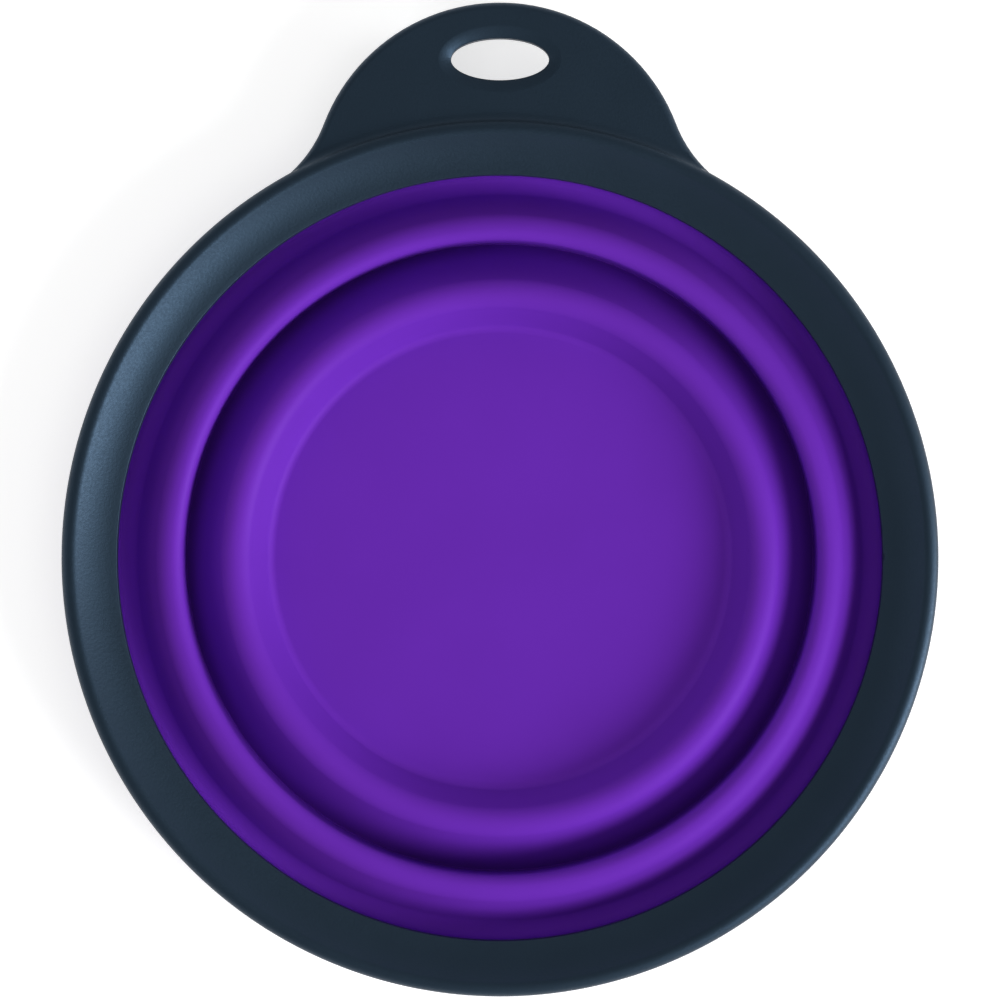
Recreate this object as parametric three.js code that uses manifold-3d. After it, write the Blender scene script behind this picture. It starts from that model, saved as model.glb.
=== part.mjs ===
// Collapsible pet travel cup: a rigid rim frame with a hang tab, and a soft bowl that folds into rings.
// Millimetres, +Z up, +Y towards the tab. The origin is on the bowl's axis at the underside of its base,
// and the cup is shown folded flat.
import * as THREE from "three";
import { mergeVertices } from "three/addons/utils/BufferGeometryUtils.js";
import Module from "manifold-3d";

const wasm = await Module();
wasm.setup();

// Widths of the bowl's bands, from the mouth inwards
const MOUTH_RADIUS = 51.2;
const UPPER_WALL_LEAN = 0.7;
const UPPER_FOLD_WIDTH = 6.5;
const MIDDLE_WALL_WIDTH = 1.6;
const LOWER_FOLD_WIDTH = 6.9;
const LOWER_WALL_WIDTH = 5.3;

// Heights of the folded bowl: both grooves hang clear of what the base stands on
const UPPER_GROOVE_CLEARANCE = 3.4;
const LOWER_GROOVE_CLEARANCE = 0.4;
const UPPER_FOLD_RISE = 6.6;
const LOWER_FOLD_RISE = 8.7;
const MOUTH_RISE = 6.7;
const BASE_THICKNESS = 4.5;

// Walls: the folds are thin hinges between stiff bands
const FOLD_THICKNESS = 1.1;
const UPPER_WALL_THICKNESS = 1.8;
const MIDDLE_WALL_THICKNESS = 1.3;
const LOWER_WALL_THICKNESS = 1.45;

// Radii at the grooves, under the crests and at the base
const UPPER_WALL_GROOVE = 1;
const UPPER_FOLD_GROOVE = 2;
const UPPER_FOLD_INSIDE = 1.4;
const MIDDLE_WALL_INSIDE = 0.2;
const MIDDLE_WALL_GROOVE = 0.3;
const LOWER_FOLD_GROOVE = 0.4;
const LOWER_FOLD_INSIDE = 1.3;
const LOWER_WALL_INSIDE = 0.9;
const FLOOR_FILLET = 1.4;
const FOOT_RADIUS = 1.2;

// Collar of the bowl, bonded under the rim, with a mouth that is undercut below the rim's inner edge
const COLLAR_THICKNESS = 1.6;
const COLLAR_CLEARANCE = 0.7;
const MOUTH_UNDERCUT = 0.25;

// Rim of the frame: a rounded crest, a dished inner slope, a skirt outside and a locking rib underneath
const RIM_WIDTH = 7.3;
const RIM_WALL = 2;
const RIM_EDGE_RADIUS = 1.3;
const CREST_RADIUS = 1.2;
const RIM_LIP_RADIUS = 0.3;
const DISH_STEEP = THREE.MathUtils.degToRad(40);
const DISH_FLAT = THREE.MathUtils.degToRad(10);
const SKIRT_HEIGHT = 7.5;
const SKIRT_CHAMFER = 0.4;
const RIB_INSET = 1.9;
const RIB_WIDTH = 1;
const RIB_DEPTH = 0.8;

// Hang tab: a flat plate below the crest, with a rounded edge and a bevelled oval hole
const TAB_REACH = 15.7;
const TAB_RADIUS = 25.2;
const TAB_ROOT_FILLET = 17;
const TAB_ROOT_SINK = 0.3;
const TAB_THICKNESS = 3.5;
const TAB_DROP = 1.3;
const TAB_EDGE = 0.8;
const HOLE_INSET = 7.6;
const HOLE_LENGTH = 13.1;
const HOLE_WIDTH = 5.6;
const HOLE_BEVEL = 1.7;
const HOLE_BEVEL_DEPTH = 1;

// Facets
const RING_SEGMENTS = 48;
const ARC_STEP = THREE.MathUtils.degToRad(31);
const TAB_STEP = THREE.MathUtils.degToRad(9);
const TAB_EDGE_SEGMENTS = 2;
const HOLE_SEGMENTS = 10;
const CUT_OVERRUN = 1;
const MERGE_DISTANCE = 1e-4;

const RIGHT_ANGLE = Math.PI / 2;

const framePlastic = () =>
  new THREE.MeshStandardMaterial({ color: 0x24303a, roughness: 0.55, metalness: 0 });
const bowlRubber = () =>
  new THREE.MeshStandardMaterial({ color: 0x63299f, roughness: 0.5, metalness: 0 });

const point = (radius, height) => new THREE.Vector2(radius, height);
const below = (place, depth) => point(place.x, place.y - depth);

// Lowest points of the grooves, tops of the crests and the floor's edge, on the surface that faces up
const upperGroove = point(MOUTH_RADIUS - UPPER_WALL_LEAN, UPPER_GROOVE_CLEARANCE + FOLD_THICKNESS);
const upperCrest = point(upperGroove.x - UPPER_FOLD_WIDTH, upperGroove.y + UPPER_FOLD_RISE);
const lowerGroove = point(upperCrest.x - MIDDLE_WALL_WIDTH, LOWER_GROOVE_CLEARANCE + FOLD_THICKNESS);
const lowerCrest = point(lowerGroove.x - LOWER_FOLD_WIDTH, lowerGroove.y + LOWER_FOLD_RISE);
const floorEdge = point(lowerCrest.x - LOWER_WALL_WIDTH, BASE_THICKNESS);

// Main places of the rim: the inner end of its dish, the arc of the dish and the crest
const rimRadius = MOUTH_RADIUS + RIM_WIDTH;
const rimEdge = point(
  MOUTH_RADIUS + RIM_LIP_RADIUS * (1 - Math.sin(DISH_FLAT)),
  upperGroove.y + MOUTH_RISE,
);
const crestMiddle = rimRadius - RIM_EDGE_RADIUS;
const dishTop = crestMiddle - CREST_RADIUS * Math.sin(DISH_STEEP);
const dishRadius = (dishTop - rimEdge.x) / (Math.sin(DISH_STEEP) - Math.sin(DISH_FLAT));
const dishCentre = point(
  rimEdge.x - dishRadius * Math.sin(DISH_FLAT),
  rimEdge.y + dishRadius * Math.cos(DISH_FLAT),
);
const crestHeight =
  dishCentre.y - dishRadius * Math.cos(DISH_STEEP) + CREST_RADIUS * (1 - Math.cos(DISH_STEEP));
const skirtInside = rimRadius - RIM_WALL;
const collarEdge = skirtInside - COLLAR_CLEARANCE;

// Points along an arc, from one direction to another, both ends included.
function arcPoints(centre, radius, from, to, step = ARC_STEP) {
  const steps = Math.max(1, Math.ceil(Math.abs(to - from) / step));
  return Array.from({ length: steps + 1 }, (_, i) => {
    const direction = from + ((to - from) * i) / steps;
    return point(
      centre.x + radius * Math.cos(direction),
      centre.y + radius * Math.sin(direction),
    );
  });
}

// A curve that leaves a low point level, turns up round one arc, follows the common tangent and turns
// round a second arc to arrive level at a high point. Without a second arc it runs straight to that point.
function levelCurve(low, lowRadius, high, highRadius = 0) {
  const side = Math.sign(high.x - low.x);
  const run = Math.abs(high.x - low.x);
  const rise = high.y - highRadius - (low.y + lowRadius);
  const turn =
    Math.atan2(rise, run) + Math.asin((lowRadius + highRadius) / Math.hypot(run, rise));
  const lowCentre = point(low.x, low.y + lowRadius);
  const lowArc = arcPoints(lowCentre, lowRadius, -RIGHT_ANGLE, side * turn - RIGHT_ANGLE);
  if (!highRadius) return [...lowArc, high];
  const highArc = arcPoints(
    below(high, highRadius),
    highRadius,
    side * turn + RIGHT_ANGLE,
    RIGHT_ANGLE,
  );
  return [...lowArc, ...highArc];
}

// The rim's dished slope, or a line at an even depth under it, between two radii.
function dishCurve(depth, from, to) {
  const radius = dishRadius + depth;
  const direction = (x) => Math.asin((x - dishCentre.x) / radius) - RIGHT_ANGLE;
  return arcPoints(dishCentre, radius, direction(from), direction(to));
}

// Underside of the rim from the mouth to the collar's edge, with the locking rib. The collar shares it.
function bondLine() {
  const ribStart = MOUTH_RADIUS + RIB_INSET;
  const ribEnd = ribStart + RIB_WIDTH;
  return [
    ...dishCurve(RIM_WALL, MOUTH_RADIUS, ribStart),
    ...dishCurve(RIM_WALL + RIB_DEPTH, ribStart, ribEnd),
    ...dishCurve(RIM_WALL, ribEnd, collarEdge),
  ];
}

// An outline without the points that repeat where two of its arcs meet.
function distinct(outline) {
  return outline.filter((corner, i) => corner.distanceTo(outline.at(i - 1)) > MERGE_DISTANCE);
}

// A ring turned from a closed outline of radius and height, taken anticlockwise.
function turned(outline) {
  const corners = distinct(outline);
  return new THREE.LatheGeometry([...corners, corners[0]], RING_SEGMENTS).rotateX(RIGHT_ANGLE);
}

// A closed geometry as a solid that can be joined and cut.
function solidOf(geometry) {
  const bare = geometry.clone();
  bare.deleteAttribute("normal");
  bare.deleteAttribute("uv");
  const merged = mergeVertices(bare, MERGE_DISTANCE);
  const vertProperties = merged.attributes.position.array;
  const triVerts = new Uint32Array(merged.index.array);
  return new wasm.Manifold(new wasm.Mesh({ numProp: 3, vertProperties, triVerts }));
}

function geometryOf(solid) {
  const mesh = solid.getMesh();
  const geometry = new THREE.BufferGeometry();
  geometry.setAttribute("position", new THREE.BufferAttribute(mesh.vertProperties, mesh.numProp));
  geometry.setIndex(new THREE.BufferAttribute(mesh.triVerts, 1));
  geometry.computeVertexNormals();
  return geometry;
}

// Rim of the frame, turned in one profile: underside, skirt, outer edge, crest, dish and inner edge.
function rimRing() {
  const foot = crestHeight - SKIRT_HEIGHT;
  const lipCentre = point(
    MOUTH_RADIUS + RIM_LIP_RADIUS,
    rimEdge.y - RIM_LIP_RADIUS * Math.cos(DISH_FLAT),
  );
  return turned([
    ...bondLine(),
    ...dishCurve(RIM_WALL, collarEdge, skirtInside),
    point(skirtInside, foot),
    point(rimRadius - SKIRT_CHAMFER, foot),
    point(rimRadius, foot + SKIRT_CHAMFER),
    ...arcPoints(point(crestMiddle, crestHeight - RIM_EDGE_RADIUS), RIM_EDGE_RADIUS, 0, RIGHT_ANGLE),
    ...arcPoints(
      point(crestMiddle, crestHeight - CREST_RADIUS),
      CREST_RADIUS,
      RIGHT_ANGLE,
      RIGHT_ANGLE + DISH_STEEP,
    ),
    ...dishCurve(0, dishTop, rimEdge.x),
    ...arcPoints(lipCentre, RIM_LIP_RADIUS, RIGHT_ANGLE + DISH_FLAT, Math.PI),
  ]);
}

// Outline of the tab: a round end that runs through two fillets into a disc just inside the rim.
function tabOutline() {
  const end = new THREE.Vector2(0, rimRadius + TAB_REACH - TAB_RADIUS);
  const rootRadius = rimRadius - TAB_ROOT_SINK;
  const toRim = rootRadius + TAB_ROOT_FILLET;
  const toEnd = TAB_RADIUS + TAB_ROOT_FILLET;
  const filletY = (toRim ** 2 - toEnd ** 2 + end.y ** 2) / (2 * end.y);
  const fillet = new THREE.Vector2(Math.sqrt(toRim ** 2 - filletY ** 2), filletY);
  const mirrored = new THREE.Vector2(-fillet.x, fillet.y);
  const rootAngle = fillet.angle();
  const endAngle = fillet.clone().sub(end).angle();
  const arc = (centre, radius, from, to) => arcPoints(centre, radius, from, to, TAB_STEP);
  const outline = distinct([
    ...arc(fillet, TAB_ROOT_FILLET, rootAngle + Math.PI, endAngle + Math.PI),
    ...arc(end, TAB_RADIUS, endAngle, Math.PI - endAngle),
    ...arc(mirrored, TAB_ROOT_FILLET, -endAngle, -rootAngle),
    ...arc(new THREE.Vector2(), rootRadius, Math.PI - rootAngle, 2 * Math.PI + rootAngle),
  ]);
  return new THREE.Shape(outline);
}

// Tools that cut the oval hole: one straight through, and one flared at each face for the bevel.
function holeCuts(bottom, top) {
  const oval = new THREE.Shape();
  const centreY = rimRadius + TAB_REACH - HOLE_INSET;
  oval.absellipse(0, centreY, HOLE_LENGTH / 2, HOLE_WIDTH / 2, 0, 2 * Math.PI);
  const straight = new THREE.ExtrudeGeometry(oval, {
    depth: TAB_THICKNESS + 2 * CUT_OVERRUN,
    bevelEnabled: false,
    curveSegments: HOLE_SEGMENTS,
  });
  const flared = new THREE.ExtrudeGeometry(oval, {
    depth: CUT_OVERRUN,
    bevelSize: HOLE_BEVEL,
    bevelThickness: HOLE_BEVEL_DEPTH,
    bevelSegments: 1,
    curveSegments: HOLE_SEGMENTS,
  });
  return [
    straight.translate(0, 0, bottom - CUT_OVERRUN),
    flared.clone().translate(0, 0, top),
    flared.clone().translate(0, 0, bottom - CUT_OVERRUN),
  ];
}

// The tab's plate with its rounded edge. The disc that carries it is cut away inside the rim's skirt.
function hangTab(bottom) {
  const plate = new THREE.ExtrudeGeometry(tabOutline(), {
    depth: TAB_THICKNESS - 2 * TAB_EDGE,
    bevelSize: TAB_EDGE,
    bevelOffset: -TAB_EDGE,
    bevelThickness: TAB_EDGE,
    bevelSegments: TAB_EDGE_SEGMENTS,
  });
  const skirtMiddle = rimRadius - RIM_WALL / 2;
  const depth = TAB_THICKNESS + 2 * CUT_OVERRUN;
  const inside = new THREE.CylinderGeometry(skirtMiddle, skirtMiddle, depth, RING_SEGMENTS);
  inside.rotateX(RIGHT_ANGLE);
  return solidOf(plate.translate(0, 0, bottom + TAB_EDGE)).subtract(
    solidOf(inside.translate(0, 0, bottom + TAB_THICKNESS / 2)),
  );
}

function rimFrame() {
  const top = crestHeight - TAB_DROP;
  const bottom = top - TAB_THICKNESS;
  const whole = solidOf(rimRing()).add(hangTab(bottom));
  return geometryOf(holeCuts(bottom, top).reduce((rest, cut) => rest.subtract(solidOf(cut)), whole));
}

// The collar's underside, and where its two edges meet the upper wall
const mouthFootRadius = MOUTH_RADIUS + MOUTH_UNDERCUT;
const collarUnderside = dishCurve(
  RIM_WALL + COLLAR_THICKNESS,
  mouthFootRadius + UPPER_WALL_THICKNESS,
  collarEdge,
);
const upperWallTop = collarUnderside[0];
const mouthFoot = point(mouthFootRadius, upperWallTop.y);

function bowlCollar() {
  return turned([...collarUnderside, ...bondLine().reverse(), mouthFoot]);
}

// The upper wall thickens from the fold's thickness at its groove to its own at the collar.
function upperWall() {
  const outside = levelCurve(
    below(upperGroove, FOLD_THICKNESS),
    UPPER_WALL_GROOVE + FOLD_THICKNESS,
    upperWallTop,
  );
  const inside = levelCurve(upperGroove, UPPER_WALL_GROOVE, mouthFoot);
  return turned([...outside, ...inside.reverse()]);
}

// A thin fold of even thickness that climbs inwards from a groove to a crest.
function foldBand(groove, grooveRadius, crest, insideRadius) {
  const upside = levelCurve(groove, grooveRadius, crest, insideRadius + FOLD_THICKNESS);
  const underside = levelCurve(
    below(groove, FOLD_THICKNESS),
    grooveRadius + FOLD_THICKNESS,
    below(crest, FOLD_THICKNESS),
    insideRadius,
  );
  return turned([...upside, ...underside.reverse()]);
}

function middleWall() {
  const outside = levelCurve(
    below(lowerGroove, FOLD_THICKNESS),
    MIDDLE_WALL_GROOVE + MIDDLE_WALL_THICKNESS,
    below(upperCrest, FOLD_THICKNESS),
    MIDDLE_WALL_INSIDE,
  );
  const crestRadius = MIDDLE_WALL_INSIDE + MIDDLE_WALL_THICKNESS;
  const inside = levelCurve(lowerGroove, MIDDLE_WALL_GROOVE, upperCrest, crestRadius);
  return turned([...outside, ...inside.reverse()]);
}

function lowerWall() {
  const outside = levelCurve(
    below(floorEdge, BASE_THICKNESS),
    FOOT_RADIUS,
    below(lowerCrest, FOLD_THICKNESS),
    LOWER_WALL_INSIDE,
  );
  const crestRadius = LOWER_WALL_INSIDE + LOWER_WALL_THICKNESS;
  const inside = levelCurve(floorEdge, FLOOR_FILLET, lowerCrest, crestRadius);
  return turned([...outside, ...inside.reverse()]);
}

function baseFloor() {
  return new THREE.LatheGeometry(
    [point(0, 0), below(floorEdge, BASE_THICKNESS), floorEdge, point(0, BASE_THICKNESS)],
    RING_SEGMENTS,
  ).rotateX(RIGHT_ANGLE);
}

function piece(name, geometry, material) {
  const mesh = new THREE.Mesh(geometry, material);
  mesh.name = name;
  return mesh;
}

const upperFold = foldBand(upperGroove, UPPER_FOLD_GROOVE, upperCrest, UPPER_FOLD_INSIDE);
const lowerFold = foldBand(lowerGroove, LOWER_FOLD_GROOVE, lowerCrest, LOWER_FOLD_INSIDE);

const bowl = new THREE.Group();
bowl.add(
  piece("bowl_collar", bowlCollar(), bowlRubber()),
  piece("upper_wall", upperWall(), bowlRubber()),
  piece("upper_fold", upperFold, bowlRubber()),
  piece("middle_wall", middleWall(), bowlRubber()),
  piece("lower_fold", lowerFold, bowlRubber()),
  piece("lower_wall", lowerWall(), bowlRubber()),
  piece("base_floor", baseFloor(), bowlRubber()),
);

const cup = new THREE.Group();
cup.add(piece("rim_frame", rimFrame(), framePlastic()), bowl);

export default cup;
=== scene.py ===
"""Looks of a collapsible pet travel cup, folded flat.

The cup has a rigid rim frame with a hang tab, and a soft bowl. The bowl is one soft moulding that
works as a row of bands. Stiff walls ride on their bodies. The thin folds between them, which bend
when the real cup is opened, stay where they are built, on no body.
"""
import logging
import math
from collections.abc import Iterable, Iterator
from contextlib import contextmanager
from dataclasses import dataclass, field
from enum import Enum

import bmesh
import bpy
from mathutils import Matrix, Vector


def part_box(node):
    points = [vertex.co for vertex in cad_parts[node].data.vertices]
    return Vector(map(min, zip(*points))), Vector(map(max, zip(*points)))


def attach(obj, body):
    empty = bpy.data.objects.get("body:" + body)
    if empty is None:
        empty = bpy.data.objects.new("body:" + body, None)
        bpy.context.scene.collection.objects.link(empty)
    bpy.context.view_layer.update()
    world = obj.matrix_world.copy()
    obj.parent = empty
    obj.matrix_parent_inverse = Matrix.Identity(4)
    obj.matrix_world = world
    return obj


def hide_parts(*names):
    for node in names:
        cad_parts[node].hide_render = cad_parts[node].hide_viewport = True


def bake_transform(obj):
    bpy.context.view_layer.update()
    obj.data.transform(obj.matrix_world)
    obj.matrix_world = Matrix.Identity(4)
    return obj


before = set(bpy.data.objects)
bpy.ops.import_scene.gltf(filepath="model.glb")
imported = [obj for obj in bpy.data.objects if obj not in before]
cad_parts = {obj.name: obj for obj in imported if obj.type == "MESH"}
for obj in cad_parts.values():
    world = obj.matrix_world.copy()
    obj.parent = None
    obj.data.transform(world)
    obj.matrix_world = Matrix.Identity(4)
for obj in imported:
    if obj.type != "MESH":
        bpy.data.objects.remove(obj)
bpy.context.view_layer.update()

MM = 0.001
RIGHT_ANGLE = math.pi / 2

# Fineness of the meshes
RING_STEPS = 256
ARC_STEP = math.radians(3)
SHORTEST_STEP = 0.01 * MM
RUN_STEP = 0.4 * MM
MERGE_DISTANCE = 0.001 * MM
SLIVER_WIDTH = 0.01 * MM
FLAT_ANGLE = math.radians(0.05)
SMOOTH_ANGLE = math.radians(35)

# Noises: the range that most of their values lie in, and how many finer layers they hold
NOISE_LOW, NOISE_HIGH = 0.3, 0.7
CLOUD_DETAIL = 3
RELIEF_DETAIL = 2

Tone = tuple[float, float, float, float]
WHITE: Tone = (1, 1, 1, 1)

log = logging.getLogger("travel_cup")


class Body(Enum):
    """Bodies that move against each other when the cup is opened."""

    BASE = "base"
    MIDDLE_RING = "middle_ring"
    FRAME = "frame"


class Slot(Enum):
    """Material slots of the record."""

    PLASTIC = "frame_plastic"
    RUBBER = "bowl_rubber"


class Join(Enum):
    """Ways to combine a piece with a tool."""

    ADD = "UNION"
    CUT = "DIFFERENCE"
    TRIM = "INTERSECT"


def arc(centre: Vector, radius: float, start: float, stop: float) -> list[Vector]:
    """Points along an arc, both ends included.

    Args:
        centre: Middle of the arc, in the plane of its outline.
        radius: Radius in metres.
        start: Direction of the first point, in radians.
        stop: Direction of the last point, in radians.

    Returns:
        The points, from start to stop.
    """
    sweep = abs(stop - start)
    steps = max(1, math.ceil(min(sweep / ARC_STEP, sweep * radius / SHORTEST_STEP)))
    turns = [start + (stop - start) * i / steps for i in range(steps + 1)]
    return [centre + radius * Vector((math.cos(turn), math.sin(turn))) for turn in turns]


def run(start: Vector, stop: Vector) -> list[Vector]:
    """Evenly spaced points of a straight run, both ends left out.

    Args:
        start: Where the run starts.
        stop: Where it stops.

    Returns:
        The points between them, none if the run is short.
    """
    steps = math.ceil((stop - start).length / RUN_STEP)
    return [start.lerp(stop, i / steps) for i in range(1, steps)]


def below(place: Vector, depth: float) -> Vector:
    """The place of a section that lies straight under another one."""
    return place - Vector((0, depth))


def level_curve(
    low: Vector, low_radius: float, high: Vector, high_radius: float = 0.0
) -> list[Vector]:
    """A line that leaves a low place level, turns up, runs straight and ends level at a high place.

    Args:
        low: Radius and height of the low place.
        low_radius: Radius of the arc that turns up from it.
        high: Radius and height of the high place.
        high_radius: Radius of the arc that ends level there, or 0 to run straight to it.

    Returns:
        Points of the line, from low to high.
    """
    side = math.copysign(1, high.x - low.x)
    width = abs(high.x - low.x)
    rise = high.y - high_radius - low.y - low_radius
    turn = math.atan2(rise, width) + math.asin((low_radius + high_radius) / math.hypot(width, rise))
    low_arc = arc(below(low, -low_radius), low_radius, -RIGHT_ANGLE, side * turn - RIGHT_ANGLE)
    high_arc = [high]
    if high_radius:
        high_start = side * turn + RIGHT_ANGLE
        high_arc = arc(below(high, high_radius), high_radius, high_start, RIGHT_ANGLE)
    return [*low_arc, *run(low_arc[-1], high_arc[0]), *high_arc]


def select_only(piece: bpy.types.Object) -> None:
    """Make one piece the active object, and the only selected one."""
    bpy.ops.object.select_all(action="DESELECT")
    piece.select_set(True)
    bpy.context.view_layer.objects.active = piece


@contextmanager
def editing(piece: bpy.types.Object) -> Iterator[None]:
    """Hold one piece in edit mode, with all of its mesh selected.

    Args:
        piece: The mesh object to edit.
    """
    select_only(piece)
    bpy.ops.object.mode_set(mode="EDIT")
    bpy.ops.mesh.select_all(action="SELECT")
    yield
    bpy.ops.object.mode_set(mode="OBJECT")


def close_seams() -> None:
    """Merge the doubles of the mesh in edit mode, and turn its faces outwards."""
    bpy.ops.mesh.select_all(action="SELECT")
    bpy.ops.mesh.remove_doubles(threshold=MERGE_DISTANCE)
    bpy.ops.mesh.normals_make_consistent(inside=False)


def draw_outline(name: str, places: list[Vector], closed: bool = True) -> bpy.types.Object:
    """Draw an outline by extruding one vertex from place to place.

    Args:
        name: Name of the new piece.
        places: Corners of the outline in the frame.
        closed: Whether the last place is joined to the first.

    Returns:
        A mesh object of edges only, at the origin.
    """
    bpy.ops.object.select_all(action="DESELECT")
    bpy.ops.mesh.primitive_plane_add(size=MM)
    piece = bpy.context.active_object
    piece.name = name
    piece.data.name = name
    route = [*places, places[0]] if closed else places
    with editing(piece):
        bpy.ops.mesh.merge(type="CENTER")
        bpy.ops.transform.translate(value=route[0])
        for before, after in zip(route, route[1:]):
            bpy.ops.mesh.extrude_region_move(TRANSFORM_OT_translate={"value": after - before})
        bpy.ops.mesh.select_all(action="SELECT")
        bpy.ops.mesh.remove_doubles(threshold=MERGE_DISTANCE)
    return piece


def spin_section(name: str, section: list[Vector], closed: bool = True) -> bpy.types.Object:
    """Spin a section round the bowl's axis.

    Args:
        name: Name of the new piece.
        section: Radius and height of each corner.
        closed: Whether the section closes on itself. An open one starts and ends on the axis.

    Returns:
        A closed mesh object with its faces outwards.
    """
    piece = draw_outline(name, [Vector((place.x, 0, place.y)) for place in section], closed)
    with editing(piece):
        bpy.ops.mesh.spin(
            steps=RING_STEPS,
            angle=4 * RIGHT_ANGLE,
            center=(0, 0, 0),
            axis=(0, 0, 1),
            use_auto_merge=True,
        )
        close_seams()
    return piece


def apply_modifier(piece: bpy.types.Object, kind: str, **settings: object) -> None:
    """Add a modifier to a piece, set it and apply it.

    Args:
        piece: The piece to change.
        kind: Blender's name for the kind of modifier.
        settings: Values of the modifier's own settings.
    """
    select_only(piece)
    bpy.ops.object.modifier_add(type=kind)
    modifier = piece.modifiers[-1]
    for setting, value in settings.items():
        setattr(modifier, setting, value)
    bpy.ops.object.modifier_apply(modifier=modifier.name)


def combine(piece: bpy.types.Object, tool: bpy.types.Object, join: Join) -> None:
    """Add a tool to a piece, cut it away or trim the piece to it, and delete the tool.

    Args:
        piece: The piece that stays.
        tool: The piece that is used up.
        join: How the two are combined.
    """
    apply_modifier(piece, "BOOLEAN", object=tool, operation=join.value, solver="MANIFOLD")
    bpy.data.objects.remove(tool)


def merge_flats(piece: bpy.types.Object) -> None:
    """Merge the slivers that a join leaves on the flat faces of a piece."""
    with editing(piece):
        bpy.ops.mesh.dissolve_degenerate(threshold=SLIVER_WIDTH)
        bpy.ops.mesh.dissolve_limited(angle_limit=FLAT_ANGLE)
        close_seams()


def smooth(piece: bpy.types.Object) -> None:
    """Shade a piece smooth, except across its sharp edges."""
    select_only(piece)
    bpy.ops.object.shade_smooth_by_angle(angle=SMOOTH_ANGLE)


class ShaderTree:
    """The node tree of a material or a world, with short calls to add and join its nodes."""

    def __init__(self, owner: bpy.types.Material | bpy.types.World, output: str) -> None:
        """Start an empty tree that ends in an output.

        Args:
            owner: The material or world that the tree belongs to.
            output: Blender's name for its kind of output node.
        """
        owner.use_nodes = True
        self.owner = owner
        self.tree = owner.node_tree
        self.tree.nodes.clear()
        self.output = self.add(output)

    @classmethod
    def of_material(cls, name: str) -> "ShaderTree":
        """Start the tree of a new material with a name."""
        return cls(bpy.data.materials.new(name), "ShaderNodeOutputMaterial")

    def feed(self, sockets: Iterable[bpy.types.NodeSocket], sources: Iterable[object]) -> None:
        """Fill input sockets in turn.

        Args:
            sockets: The inputs to fill.
            sources: A value or a source socket for each of them.
        """
        for socket, source in zip(sockets, sources):
            if isinstance(source, bpy.types.NodeSocket):
                self.tree.links.new(source, socket)
            else:
                socket.default_value = source

    def add(
        self, kind: str, settings: dict[str, object] | None = None, **sources: object
    ) -> bpy.types.Node:
        """Add a node.

        Args:
            kind: Blender's name for the kind of node.
            settings: Values of the node's own settings.
            sources: Values or source sockets for its inputs, named with _ for a space.

        Returns:
            The new node.
        """
        node = self.tree.nodes.new(kind)
        for setting, value in (settings or {}).items():
            setattr(node, setting, value)
        self.feed([node.inputs[key.replace("_", " ")] for key in sources], sources.values())
        return node

    def maths(self, operation: str, first: object, second: object) -> bpy.types.NodeSocket:
        """Combine two numbers.

        Args:
            operation: Blender's name for the operation.
            first: First value or source socket.
            second: Second value or source socket.

        Returns:
            The socket of the result.
        """
        node = self.add("ShaderNodeMath", {"operation": operation})
        self.feed(node.inputs, (first, second))
        return node.outputs["Value"]

    def noise(self, size: float, detail: float) -> bpy.types.NodeSocket:
        """Noise on the object's own coordinates.

        Args:
            size: Size of its patches in metres.
            detail: How many finer layers it holds.

        Returns:
            The socket of its value, from 0 to 1.
        """
        place = self.add("ShaderNodeTexCoord").outputs["Object"]
        noise = self.add("ShaderNodeTexNoise", Vector=place, Scale=1 / size, Detail=detail)
        return noise.outputs["Fac"]

    def between(self, noise: bpy.types.NodeSocket, low: float, high: float) -> bpy.types.NodeSocket:
        """Spread the middle values of a noise over a range.

        Args:
            noise: The noise's value.
            low: Result where the noise is low.
            high: Result where it is high.

        Returns:
            The socket of the spread value.
        """
        spread = self.add(
            "ShaderNodeMapRange",
            Value=noise,
            From_Min=NOISE_LOW,
            From_Max=NOISE_HIGH,
            To_Min=low,
            To_Max=high,
        )
        return spread.outputs["Result"]

    def tones(
        self, noise: bpy.types.NodeSocket, colour: Tone, contrast: float
    ) -> bpy.types.NodeSocket:
        """Cloud a colour, darker where a noise is low and lighter where it is high.

        Args:
            noise: The noise's value.
            colour: The colour in the middle.
            contrast: How much darker and lighter it gets, as a share.

        Returns:
            The socket of the clouded colour.
        """
        mix = self.add("ShaderNodeMix", {"data_type": "RGBA"}, Factor=self.between(noise, 0, 1))
        inputs = [socket for socket in mix.inputs if socket.type == "RGBA"]
        self.feed(inputs, (lit(colour, 1 - contrast), lit(colour, 1 + contrast)))
        return next(socket for socket in mix.outputs if socket.type == "RGBA")

    def show(self, shader: bpy.types.NodeSocket) -> bpy.types.Material | bpy.types.World:
        """Put a shader on the surface.

        Args:
            shader: The socket of the finished shader.

        Returns:
            The tree's material or world.
        """
        self.feed([self.output.inputs["Surface"]], [shader])
        return self.owner


def lit(tone: Tone, share: float) -> Tone:
    """The same tone, lighter or darker by a share."""
    red, green, blue, alpha = tone
    return red * share, green * share, blue * share, alpha


@dataclass(frozen=True)
class MouldedFinish:
    """A moulded surface with faint cloudy tones and a fine relief."""

    name: str
    colour: Tone
    highlight: Tone
    gloss: float
    roughness: tuple[float, float]
    relief_is_rough: bool
    cloud_size: float
    cloud_contrast: float
    relief_size: float
    relief_depth: float

    def material(self) -> bpy.types.Material:
        """Make the material."""
        tree = ShaderTree.of_material(self.name)
        cloud = tree.noise(self.cloud_size, CLOUD_DETAIL)
        relief = tree.noise(self.relief_size, RELIEF_DETAIL)
        bump = tree.add("ShaderNodeBump", Strength=1.0, Distance=self.relief_depth, Height=relief)
        shader = tree.add(
            "ShaderNodeBsdfPrincipled",
            Base_Color=tree.tones(cloud, self.colour, self.cloud_contrast),
            Roughness=tree.between(relief if self.relief_is_rough else cloud, *self.roughness),
            Specular_IOR_Level=self.gloss,
            Specular_Tint=self.highlight,
            Normal=bump.outputs["Normal"],
        )
        return tree.show(shader.outputs["BSDF"])


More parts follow.
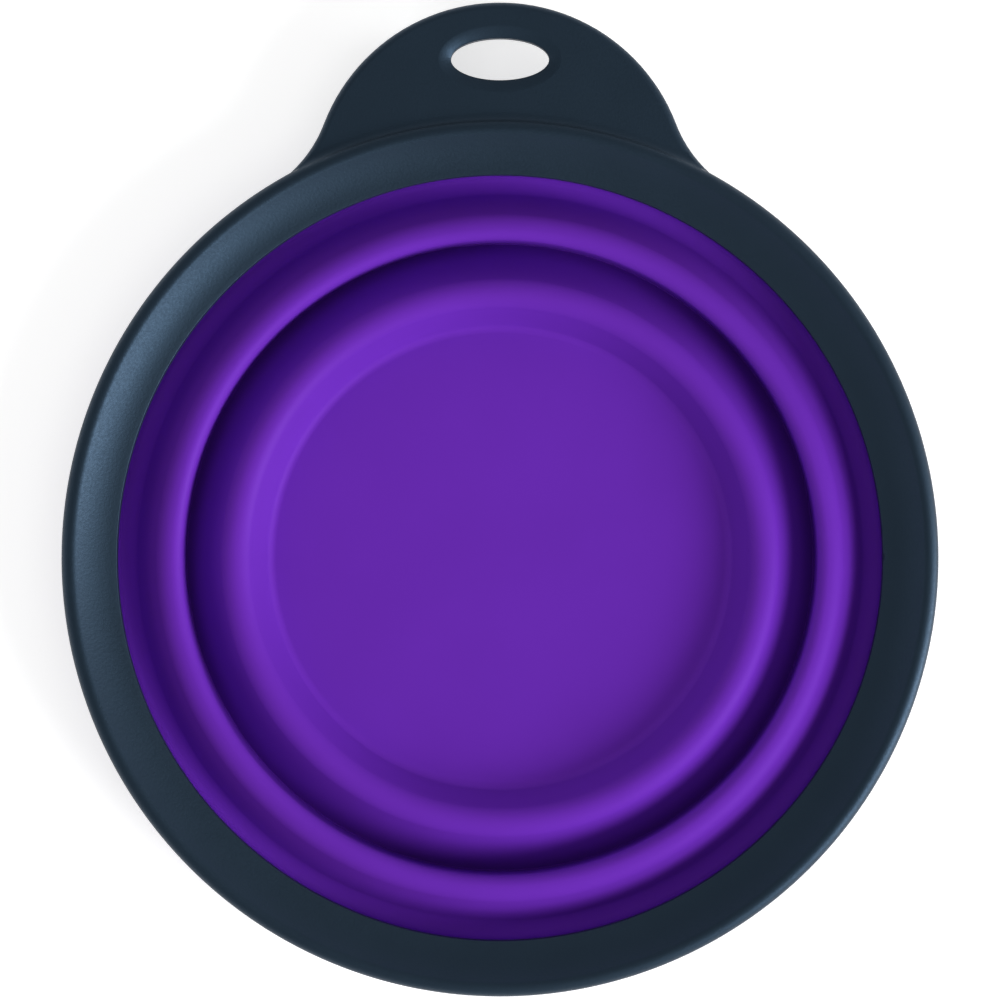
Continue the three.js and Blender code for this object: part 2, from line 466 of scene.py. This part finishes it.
@dataclass(frozen=True)
class FramePlastic(MouldedFinish):
    """Dark slate plastic with a fine moulded grain and faint cloudy tones."""

    name: str = "slate_frame_plastic"
    colour: Tone = (0.0084, 0.0144, 0.0215, 1)
    highlight: Tone = (0.37, 0.64, 1.0, 1)
    gloss: float = 0.53
    roughness: tuple[float, float] = (0.44, 0.54)
    relief_is_rough: bool = True
    cloud_size: float = 9 * MM
    cloud_contrast: float = 0.06
    relief_size: float = 0.38 * MM
    relief_depth: float = 0.024 * MM


@dataclass(frozen=True)
class BowlRubber(MouldedFinish):
    """Purple moulded rubber: smooth and satin, with a soft bloom and a very fine skin."""

    name: str = "purple_bowl_rubber"
    colour: Tone = (0.124, 0.0215, 0.395, 1)
    highlight: Tone = (0.45, 0.16, 1.0, 1)
    gloss: float = 0.2
    roughness: tuple[float, float] = (0.47, 0.55)
    relief_is_rough: bool = False
    cloud_size: float = 14 * MM
    cloud_contrast: float = 0.025
    relief_size: float = 0.5 * MM
    relief_depth: float = 0.004 * MM


@dataclass(frozen=True)
class FloorPaper:
    """Paper that reads as white to the camera and in reflections, and keeps the cup's shadow."""

    colour: Tone = (0.8, 0.8, 0.8, 1)
    lift: float = 0.56

    def material(self) -> bpy.types.Material:
        """Make the material."""
        tree = ShaderTree.of_material("white_paper")
        path = tree.add("ShaderNodeLightPath").outputs
        seen = tree.maths("MAXIMUM", path["Is Camera Ray"], path["Is Glossy Ray"])
        glow = tree.add("ShaderNodeEmission", Strength=tree.maths("MULTIPLY", seen, self.lift))
        paper = tree.add("ShaderNodeBsdfDiffuse", Color=self.colour)
        both = tree.add("ShaderNodeAddShader")
        tree.feed(both.inputs, (paper.outputs["BSDF"], glow.outputs["Emission"]))
        return tree.show(both.outputs["Shader"])


@dataclass
class RimSlope:
    """The dished slope inside the rim, which the frame has on top and meets the bowl under."""

    mouth_radius: float = 51.2 * MM
    lip_radius: float = 0.15 * MM
    mouth_undercut: float = 0.25 * MM
    edge_radius: float = 1.3 * MM
    crest_radius: float = 1.2 * MM
    steep: float = math.radians(40)
    flat: float = math.radians(10)
    wall: float = 2 * MM
    collar_thickness: float = 1.6 * MM
    rib_inset: float = 1.9 * MM
    rib_width: float = 1 * MM
    rib_depth: float = 0.8 * MM
    outer_radius: float = field(init=False)
    crest_height: float = field(init=False)
    collar_edge: float = field(init=False)
    crest_middle: float = field(init=False)
    inner_radius: float = field(init=False)
    top_radius: float = field(init=False)
    radius: float = field(init=False)
    centre: Vector = field(init=False)

    def __post_init__(self) -> None:
        """Take the rim's outer sizes from the frame, and fit the slope's arc between them."""
        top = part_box("rim_frame")[1]
        self.outer_radius, self.crest_height = top.x, top.z
        self.collar_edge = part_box("bowl_collar")[1].x
        self.crest_middle = self.outer_radius - self.edge_radius
        self.inner_radius = self.mouth_radius + self.lip_radius * (1 - math.sin(self.flat))
        self.top_radius = self.crest_middle - self.crest_radius * math.sin(self.steep)
        span = math.sin(self.steep) - math.sin(self.flat)
        self.radius = (self.top_radius - self.inner_radius) / span
        self.centre = Vector((
            self.inner_radius - self.radius * math.sin(self.flat),
            self.crest_height
            - self.crest_radius * (1 - math.cos(self.steep))
            + self.radius * math.cos(self.steep),
        ))

    def line(self, depth: float, start: float, stop: float) -> list[Vector]:
        """The slope, or a line at an even depth under it.

        Args:
            depth: Distance under the slope.
            start: Distance of the first point from the bowl's axis.
            stop: Distance of the last point from it.

        Returns:
            Points of the line.
        """
        radius = self.radius + depth
        first, last = (
            math.asin((place - self.centre.x) / radius) - RIGHT_ANGLE for place in (start, stop)
        )
        return arc(self.centre, radius, first, last)

    def bond_line(self) -> list[Vector]:
        """Underside of the rim from the mouth to the collar's edge, with the locking rib."""
        rib_start = self.mouth_radius + self.rib_inset
        rib_stop = rib_start + self.rib_width
        return [
            *self.line(self.wall, self.mouth_radius, rib_start),
            *self.line(self.wall + self.rib_depth, rib_start, rib_stop),
            *self.line(self.wall, rib_stop, self.collar_edge),
        ]


@dataclass
class RimFrame:
    """The rigid frame: a dished rim, and a flat hang tab with a bevelled oval hole."""

    slope: RimSlope
    foot_radius: float = 0.45 * MM
    tab_radius: float = 25.2 * MM
    tab_root_fillet: float = 17 * MM
    tab_root_sink: float = 0.3 * MM
    tab_thickness: float = 3.5 * MM
    tab_drop: float = 1.25 * MM
    tab_edge: float = 1 * MM
    tab_edge_steps: int = 8
    tab_fillet: float = 1.6 * MM
    tab_fillet_sink: float = 0.5 * MM
    tab_fillet_inset: float = 0.5 * MM
    tab_fillet_trim: float = 3 * MM
    hole_inset: float = 7.6 * MM
    hole_length: float = 13.1 * MM
    hole_width: float = 5.6 * MM
    hole_bevel: float = 1.7 * MM
    hole_bevel_depth: float = 0.75 * MM
    hole_bevel_softness: float = 1.35
    hole_bevel_steps: int = 12
    hole_steps: int = 128
    cut_overrun: float = 1 * MM

    def section(self) -> list[Vector]:
        """Section of the rim: underside, skirt, rounded outer edge, crest, dish and inner edge."""
        slope = self.slope
        dish = slope.line(0, slope.top_radius, slope.inner_radius)
        lip = Vector((
            slope.mouth_radius + slope.lip_radius,
            dish[-1].y - slope.lip_radius * math.cos(slope.flat),
        ))
        inside = slope.outer_radius - slope.wall
        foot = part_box("rim_frame")[0].z + self.foot_radius
        inner_foot = Vector((inside + self.foot_radius, foot))
        outer_foot = Vector((slope.outer_radius - self.foot_radius, foot))
        crest = Vector((slope.crest_middle, slope.crest_height))
        crest_stop = RIGHT_ANGLE + slope.steep
        return [
            *slope.bond_line(),
            *slope.line(slope.wall, slope.collar_edge, inside)[1:],
            *arc(inner_foot, self.foot_radius, -2 * RIGHT_ANGLE, -RIGHT_ANGLE),
            *arc(outer_foot, self.foot_radius, -RIGHT_ANGLE, 0),
            *arc(below(crest, slope.edge_radius), slope.edge_radius, 0, RIGHT_ANGLE),
            *arc(below(crest, slope.crest_radius), slope.crest_radius, RIGHT_ANGLE, crest_stop)[1:],
            *dish[1:],
            *arc(lip, slope.lip_radius, RIGHT_ANGLE + slope.flat, math.pi)[1:],
        ]

    def tab_outline(self, inset: float = 0.0) -> list[Vector]:
        """Plan of the tab: a round end that runs through two fillets into the rim's wall.

        Args:
            inset: Distance of the line inside the tab's edge.

        Returns:
            Points of the plan.
        """
        rim = self.slope.outer_radius
        end = Vector((0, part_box("rim_frame")[1].y - self.tab_radius))
        root = rim - self.tab_root_sink
        to_rim = root + self.tab_root_fillet
        to_end = self.tab_radius + self.tab_root_fillet
        fillet_y = (to_rim**2 - to_end**2 + end.y**2) / (2 * end.y)
        fillet = Vector((math.sqrt(to_rim**2 - fillet_y**2), fillet_y))
        mirrored = Vector((-fillet.x, fillet.y))
        root_turn = math.atan2(fillet.y, fillet.x)
        end_turn = math.atan2(fillet.y - end.y, fillet.x - end.x)
        return [
            *arc(fillet, self.tab_root_fillet + inset, root_turn + math.pi, end_turn + math.pi),
            *arc(end, self.tab_radius - inset, end_turn, math.pi - end_turn)[1:],
            *arc(mirrored, self.tab_root_fillet + inset, -end_turn, -root_turn)[1:],
            *arc(Vector((0, 0)), self.tab_inside(), math.pi - root_turn, root_turn),
        ]

    def tab_inside(self) -> float:
        """Distance of the tab's hidden inner edge from the axis, halfway through the skirt."""
        return self.slope.outer_radius - self.slope.wall / 2

    def tab_top(self) -> float:
        """Height of the tab's upper face."""
        return self.slope.crest_height - self.tab_drop

    def build_plate(
        self, name: str, height: float, rise: float, inset: float = 0.0
    ) -> bpy.types.Object:
        """Extrude the tab's plan to a plate.

        Args:
            name: Name of the new piece.
            height: Height of the plan.
            rise: Thickness of the plate, less than 0 where it goes down from the plan.
            inset: Distance of the plan inside the tab's edge.

        Returns:
            A closed mesh object.
        """
        plan = [Vector((place.x, place.y, height)) for place in self.tab_outline(inset)]
        plate = draw_outline(name, plan)
        with editing(plate):
            bpy.ops.mesh.edge_face_add()
            bpy.ops.mesh.extrude_region_move(TRANSFORM_OT_translate={"value": (0, 0, rise)})
            close_seams()
        return plate

    def build_tab(self) -> bpy.types.Object:
        """Make the tab's plate and round its outer edges."""
        tab = self.build_plate("hang_tab", self.tab_top(), -self.tab_thickness)
        hidden = self.tab_inside() + MERGE_DISTANCE
        with editing(tab):
            bpy.ops.mesh.select_mode(type="EDGE")
            mesh = bmesh.from_edit_mesh(tab.data)
            for edge in mesh.edges:
                first, second = (corner.co for corner in edge.verts)
                level = abs(first.z - second.z) < MERGE_DISTANCE
                outer = min(first.xy.length, second.xy.length) > hidden
                edge.select_set(level and outer)
            mesh.select_flush_mode()
            bmesh.update_edit_mesh(tab.data)
            bpy.ops.mesh.bevel(
                offset=self.tab_edge,
                segments=self.tab_edge_steps,
                affect="EDGES",
                clamp_overlap=False,
            )
            bpy.ops.mesh.select_mode(type="VERT")
        return tab

    def fillet_section(self) -> list[Vector]:
        """Section of the hollow fillet that runs from the rim's rounded edge out on to the tab."""
        slope = self.slope
        edge = Vector((slope.crest_middle, slope.crest_height - slope.edge_radius))
        rise = self.tab_top() + self.tab_fillet - edge.y
        reach = math.sqrt((slope.edge_radius + self.tab_fillet) ** 2 - rise**2)
        centre = edge + Vector((reach, rise))
        hollow_start = math.atan2(rise, reach) - 2 * RIGHT_ANGLE
        hollow = arc(centre, self.tab_fillet, hollow_start, -RIGHT_ANGLE)
        sunk = self.tab_top() - self.tab_fillet_sink
        return [
            *hollow,
            Vector((centre.x, sunk)),
            Vector((edge.x, sunk)),
            Vector((edge.x, hollow[0].y)),
        ]

    def build_fillet(self) -> bpy.types.Object:
        """Spin the fillet's section, and trim it to the tab's plan."""
        fillet = spin_section("tab_fillet", self.fillet_section())
        foot = self.tab_top() - self.cut_overrun
        plan = self.build_plate("tab_plan", foot, self.tab_fillet_trim, self.tab_fillet_inset)
        combine(fillet, plan, Join.TRIM)
        return fillet

    def hole_levels(self) -> list[tuple[float, float]]:
        """Growth of the oval hole against height, from below the tab to above it."""
        top = self.tab_top()
        bottom = top - self.tab_thickness
        power = 2 / self.hole_bevel_softness
        turns = [RIGHT_ANGLE * i / self.hole_bevel_steps for i in range(self.hole_bevel_steps + 1)]
        flare = [
            (
                self.hole_bevel * (1 - math.cos(turn) ** power),
                self.hole_bevel_depth * (1 - math.sin(turn) ** power),
            )
            for turn in turns
        ]
        return [
            (self.hole_bevel, bottom - self.cut_overrun),
            *((growth, bottom + depth) for growth, depth in reversed(flare)),
            *((growth, top - depth) for growth, depth in flare),
            (self.hole_bevel, top + self.cut_overrun),
        ]

    def build_hole(self) -> bpy.types.Object:
        """Extrude an oval level by level to a tool that cuts the hole and its bevels."""
        levels = self.hole_levels()
        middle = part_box("rim_frame")[1].y - self.hole_inset
        half_axes = [
            (self.hole_length / 2 + growth, self.hole_width / 2 + growth) for growth, _ in levels
        ]
        bpy.ops.object.select_all(action="DESELECT")
        bpy.ops.mesh.primitive_circle_add(vertices=self.hole_steps, radius=1, fill_type="NGON")
        tool = bpy.context.active_object
        with editing(tool):
            bpy.ops.transform.resize(value=(*half_axes[0], 1))
            bpy.ops.transform.translate(value=(0, middle, levels[0][1]))
            for i in range(1, len(levels)):
                (wide, deep), (next_wide, next_deep) = half_axes[i - 1 : i + 1]
                rise = levels[i][1] - levels[i - 1][1]
                bpy.ops.mesh.extrude_region_move(TRANSFORM_OT_translate={"value": (0, 0, rise)})
                bpy.ops.transform.resize(
                    value=(next_wide / wide, next_deep / deep, 1),
                    center_override=(0, middle, levels[i][1]),
                )
            close_seams()
        return tool

    def build(self) -> bpy.types.Object:
        """Cut the hole in the tab, spin the rim, and join the fillet and the tab to it."""
        tab = self.build_tab()
        combine(tab, self.build_hole(), Join.CUT)
        piece = spin_section("rim_frame_moulding", self.section())
        combine(piece, self.build_fillet(), Join.ADD)
        combine(piece, tab, Join.ADD)
        merge_flats(piece)
        smooth(piece)
        apply_modifier(piece, "WEIGHTED_NORMAL", keep_sharp=True)
        piece.data.materials.clear()
        return piece

    def dress(self, piece: bpy.types.Object, finish: bpy.types.Material) -> None:
        """Give the frame its finish and its place on the cup.

        Args:
            piece: The frame.
            finish: The frame's plastic.
        """
        piece.data.materials.append(finish)
        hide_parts("rim_frame")
        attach(piece, Body.FRAME.value)


@dataclass(frozen=True)
class Band:
    """One band of the bowl: the node that it replaces, its section, and the bodies it follows."""

    name: str
    node: str
    section: list[Vector]
    bodies: tuple[Body, ...]
    bend: tuple[float, float] = (0.0, 0.0)
    closed: bool = True


@dataclass
class FoldingBowl:
    """The soft bowl: a collar under the rim, three stiff walls with two thin folds, and a floor."""

    slope: RimSlope
    fold_thickness: float = 1.1 * MM
    upper_fold_width: float = 6.5 * MM
    upper_wall: float = 1.8 * MM
    middle_wall: float = 1.3 * MM
    lower_wall: float = 1.45 * MM
    upper_wall_groove: float = 1 * MM
    upper_fold_groove: float = 2 * MM
    upper_fold_inside: float = 1.4 * MM
    middle_wall_inside: float = 0.2 * MM
    middle_wall_groove: float = 0.03 * MM
    lower_fold_groove: float = 0.03 * MM
    lower_fold_inside: float = 1.3 * MM
    lower_wall_inside: float = 0.9 * MM
    floor_fillet: float = 1.4 * MM
    foot_radius: float = 1.2 * MM
    upper_groove: Vector = field(init=False)
    lower_groove: Vector = field(init=False)
    upper_crest: Vector = field(init=False)
    lower_crest: Vector = field(init=False)
    floor_edge: Vector = field(init=False)
    collar_underside: list[Vector] = field(init=False)
    mouth_foot: Vector = field(init=False)

    def __post_init__(self) -> None:
        """Take the grooves, crests and floor from the frame, on the surface that faces up."""
        self.upper_groove = self.groove("upper_fold")
        self.lower_groove = self.groove("lower_fold")
        crest_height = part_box("middle_wall")[1].z
        self.upper_crest = Vector((self.upper_groove.x - self.upper_fold_width, crest_height))
        self.lower_crest = self.outer_top("lower_wall")
        self.floor_edge = self.outer_top("base_floor")
        slope = self.slope
        undercut = slope.mouth_radius + slope.mouth_undercut
        self.collar_underside = slope.line(
            slope.wall + slope.collar_thickness, undercut + self.upper_wall, slope.collar_edge
        )
        self.mouth_foot = Vector((undercut, self.collar_underside[0].y))

    def groove(self, node: str) -> Vector:
        """Radius and height of the groove at a fold's outer edge."""
        low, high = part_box(node)
        return Vector((high.x, low.z + self.fold_thickness))

    @staticmethod
    def outer_top(node: str) -> Vector:
        """Largest radius and greatest height of a node."""
        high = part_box(node)[1]
        return Vector((high.x, high.z))

    def collar(self) -> Band:
        """The collar that is bonded under the rim, undercut below the rim's inner edge."""
        section = [*self.collar_underside, *reversed(self.slope.bond_line()), self.mouth_foot]
        return Band("bonded_collar", "bowl_collar", section, (Body.FRAME,))

    def upper(self) -> Band:
        """The stiff wall under the mouth."""
        outside = level_curve(
            below(self.upper_groove, self.fold_thickness),
            self.upper_wall_groove + self.fold_thickness,
            self.collar_underside[0],
        )
        inside = level_curve(self.upper_groove, self.upper_wall_groove, self.mouth_foot)
        section = [*outside, *reversed(inside)]
        return Band("upper_wall_band", "upper_wall", section, (Body.FRAME,))

    def fold_section(
        self, groove: Vector, groove_radius: float, crest: Vector, inside: float
    ) -> list[Vector]:
        """Section of a thin fold that climbs inwards from a groove to a crest.

        Args:
            groove: Its low outer edge.
            groove_radius: Radius in the groove.
            crest: Its high inner edge.
            inside: Radius under the crest.

        Returns:
            Corners of the closed section.
        """
        thickness = self.fold_thickness
        upside = level_curve(groove, groove_radius, crest, inside + thickness)
        underside = level_curve(
            below(groove, thickness), groove_radius + thickness, below(crest, thickness), inside
        )
        return [*upside, *reversed(underside)]

    def upper_fold(self) -> Band:
        """The thin fold between the upper and the middle wall."""
        section = self.fold_section(
            self.upper_groove, self.upper_fold_groove, self.upper_crest, self.upper_fold_inside
        )
        bend = self.upper_groove.y, self.upper_crest.y - self.fold_thickness
        return Band("upper_fold_skin", "upper_fold", section, (Body.FRAME, Body.MIDDLE_RING), bend)

    def lower_fold(self) -> Band:
        """The thin fold between the middle and the lower wall."""
        section = self.fold_section(
            self.lower_groove, self.lower_fold_groove, self.lower_crest, self.lower_fold_inside
        )
        bend = self.lower_groove.y, self.lower_crest.y - self.fold_thickness
        return Band("lower_fold_skin", "lower_fold", section, (Body.MIDDLE_RING, Body.BASE), bend)

    def middle(self) -> Band:
        """The stiff wall between the folds."""
        outside = level_curve(
            below(self.lower_groove, self.fold_thickness),
            self.middle_wall_groove + self.middle_wall,
            below(self.upper_crest, self.fold_thickness),
            self.middle_wall_inside,
        )
        inside = level_curve(
            self.lower_groove,
            self.middle_wall_groove,
            self.upper_crest,
            self.middle_wall_inside + self.middle_wall,
        )
        section = [*outside, *reversed(inside)]
        return Band("middle_wall_band", "middle_wall", section, (Body.MIDDLE_RING,))

    def lower(self) -> Band:
        """The stiff wall round the floor."""
        outside = level_curve(
            below(self.floor_edge, self.floor_edge.y),
            self.foot_radius,
            below(self.lower_crest, self.fold_thickness),
            self.lower_wall_inside,
        )
        inside = level_curve(
            self.floor_edge,
            self.floor_fillet,
            self.lower_crest,
            self.lower_wall_inside + self.lower_wall,
        )
        section = [*outside, *reversed(inside)]
        return Band("lower_wall_band", "lower_wall", section, (Body.BASE,))

    def floor(self) -> Band:
        """The flat floor that the cup stands on."""
        edge, thickness = self.floor_edge, self.floor_edge.y
        section = [Vector((0, 0)), below(edge, thickness), edge, Vector((0, thickness))]
        return Band("bowl_floor", "base_floor", section, (Body.BASE,), closed=False)

    def bands(self) -> list[Band]:
        """All bands, from the mouth to the floor."""
        return [
            self.collar(),
            self.upper(),
            self.upper_fold(),
            self.middle(),
            self.lower_fold(),
            self.lower(),
            self.floor(),
        ]

    def build(self, band: Band) -> bpy.types.Object:
        """Spin a band's section to a closed ring.

        Args:
            band: The band to make.

        Returns:
            The finished mesh object.
        """
        piece = spin_section(band.name, band.section, band.closed)
        smooth(piece)
        return piece

    def dress(self, piece: bpy.types.Object, band: Band, finish: bpy.types.Material) -> None:
        """Give a band its finish, and let it ride on its body, or fix a fold that lies between two
        bodies where it is.

        Args:
            piece: The band's mesh object.
            band: The band that it was made from.
            finish: The bowl's rubber.
        """
        piece.data.materials.append(finish)
        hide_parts(band.node)
        names = [body.value for body in band.bodies]
        if len(names) == 1:
            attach(piece, *names)
            return
        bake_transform(piece)


@dataclass(frozen=True)
class SoftLight:
    """A round soft light, aimed at the cup from one direction."""

    name: str
    azimuth: float
    elevation: float
    size: float
    power: float
    distance: float = 1.2
    diffuse: bool = True
    glossy: bool = True

    def hang(self) -> None:
        """Hang the light and turn it to the cup."""
        level = math.cos(self.elevation)
        towards = Vector((
            level * math.cos(self.azimuth), level * math.sin(self.azimuth), math.sin(self.elevation)
        ))
        bpy.ops.object.light_add(type="AREA", location=towards * self.distance)
        light = bpy.context.active_object
        light.name = self.name
        light.rotation_euler = towards.to_track_quat("Z", "Y").to_euler()
        light.data.shape = "DISK"
        light.data.size = self.size
        light.data.energy = self.power
        light.visible_diffuse = self.diffuse
        light.visible_glossy = self.glossy


@dataclass
class Studio:
    """White floor, a large soft key light, three weaker ones, a pale surround and a camera."""

    floor_size: float = 6.0
    lights: tuple[SoftLight, ...] = (
        SoftLight("key_light", math.radians(-30), math.radians(30), size=0.8, power=15),
        SoftLight("top_light", 0.0, RIGHT_ANGLE, size=1.2, power=3.5, glossy=False),
        SoftLight(
            "edge_light", math.radians(-12), math.radians(8), size=0.3, power=7, diffuse=False
        ),
        SoftLight("fill_light", math.radians(180), math.radians(28), size=0.8, power=0.8),
    )
    surround_top: float = 0.2
    surround_horizon: float = 1.1
    surround_fall: float = 2.0
    camera_height: float = 0.7
    camera_offset: float = 7.74 * MM
    view_width: float = 133.4 * MM
    focus_height: float = 12.5 * MM

    def build(self) -> None:
        """Set up the floor, the lights, the surround and the camera."""
        bpy.context.scene.view_settings.view_transform = "Standard"
        self.lay_floor()
        for light in self.lights:
            light.hang()
        self.paint_surround()
        self.mount_camera()

    def lay_floor(self) -> None:
        """Lay the white floor that the cup stands on."""
        bpy.ops.object.select_all(action="DESELECT")
        bpy.ops.mesh.primitive_plane_add(size=self.floor_size)
        floor = bpy.context.active_object
        floor.name = "studio_floor"
        floor.data.materials.append(FloorPaper().material())

    def paint_surround(self) -> None:
        """Light the cup from all round, most from the horizon. The camera sees plain white."""
        world = bpy.data.worlds.new("pale_surround")
        bpy.context.scene.world = world
        tree = ShaderTree(world, "ShaderNodeOutputWorld")
        level = self.surround_level(tree)
        surround = tree.add("ShaderNodeBackground", Color=WHITE, Strength=level)
        backdrop = tree.add("ShaderNodeBackground", Color=WHITE)
        seen = tree.add("ShaderNodeLightPath").outputs["Is Camera Ray"]
        mix = tree.add("ShaderNodeMixShader", Fac=seen)
        shaders = [background.outputs["Background"] for background in (surround, backdrop)]
        tree.feed(mix.inputs[1:], shaders)
        tree.show(mix.outputs["Shader"])

    def surround_level(self, tree: ShaderTree) -> bpy.types.NodeSocket:
        """Strength of the surround, which falls from the horizon to a lower level overhead.

        Args:
            tree: The world's node tree.

        Returns:
            The socket of the strength.
        """
        direction = tree.add("ShaderNodeTexCoord").outputs["Generated"]
        up = tree.add("ShaderNodeSeparateXYZ", Vector=direction).outputs["Z"]
        lowness = tree.add("ShaderNodeMapRange", Value=up, From_Min=1, From_Max=0).outputs["Result"]
        level = tree.add(
            "ShaderNodeMapRange",
            Value=tree.maths("POWER", lowness, self.surround_fall),
            To_Min=self.surround_top,
            To_Max=self.surround_horizon,
        )
        return level.outputs["Result"]

    def mount_camera(self) -> None:
        """Mount the camera straight above the cup, looking down with the tab at the top."""
        height = self.focus_height + self.camera_height
        bpy.ops.object.camera_add(location=(0, self.camera_offset, height), rotation=(0, 0, 0))
        camera = bpy.context.active_object
        camera.name = "overhead_camera"
        camera.data.lens = camera.data.sensor_width * self.camera_height / self.view_width
        bpy.context.scene.camera = camera


def report(piece: bpy.types.Object) -> None:
    """Log a finished piece's name, faces and size."""
    sizes = [side / MM for side in piece.dimensions]
    faces = len(piece.data.polygons)
    log.info("%s: %d faces, %.1f x %.1f x %.1f mm", piece.name, faces, *sizes)


def main() -> None:
    """Set up the studio, and build and dress the frame and the bowl."""
    logging.basicConfig(level=logging.INFO, format="%(name)s: %(message)s")
    Studio().build()
    slope = RimSlope()
    rim = RimFrame(slope)
    moulding = rim.build()
    rim.dress(moulding, FramePlastic().material())
    report(moulding)
    bowl = FoldingBowl(slope)
    rubber = BowlRubber().material()
    for band in bowl.bands():
        piece = bowl.build(band)
        bowl.dress(piece, band, rubber)
        report(piece)


if __name__ == "__main__":
    main()
